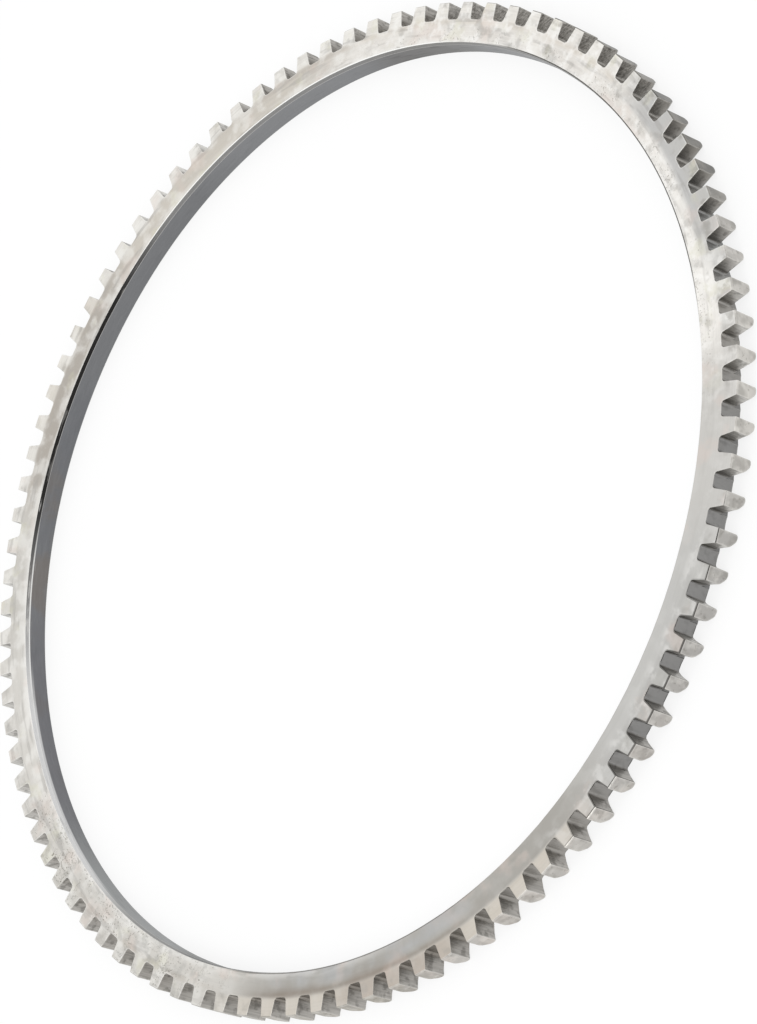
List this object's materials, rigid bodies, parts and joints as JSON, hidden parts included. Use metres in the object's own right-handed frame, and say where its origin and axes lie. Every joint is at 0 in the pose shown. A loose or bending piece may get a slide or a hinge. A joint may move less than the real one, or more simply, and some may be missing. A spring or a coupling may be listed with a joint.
{
  "type": "starter ring gear",
  "caption": "Flat steel starter ring gear with straight stub teeth around its rim, bevelled at one end for pinion entry, and a plain bore that shrinks onto a flywheel.",
  "frame": {"origin": "on the ring's axis, in the plane of its rear face, on which it lies", "axes": "+Z along the ring's axis, towards the front face that seats on the flywheel; a tooth is centred on +X"},
  "size_m": [0.4, 0.4, 0.0103],
  "materials": {
    "steel": "turned faces and hobbed teeth, lightly stained"
  },
  "bodies": {
    "root": {"ring_gear": "steel"}
  },
  "joints": []
}
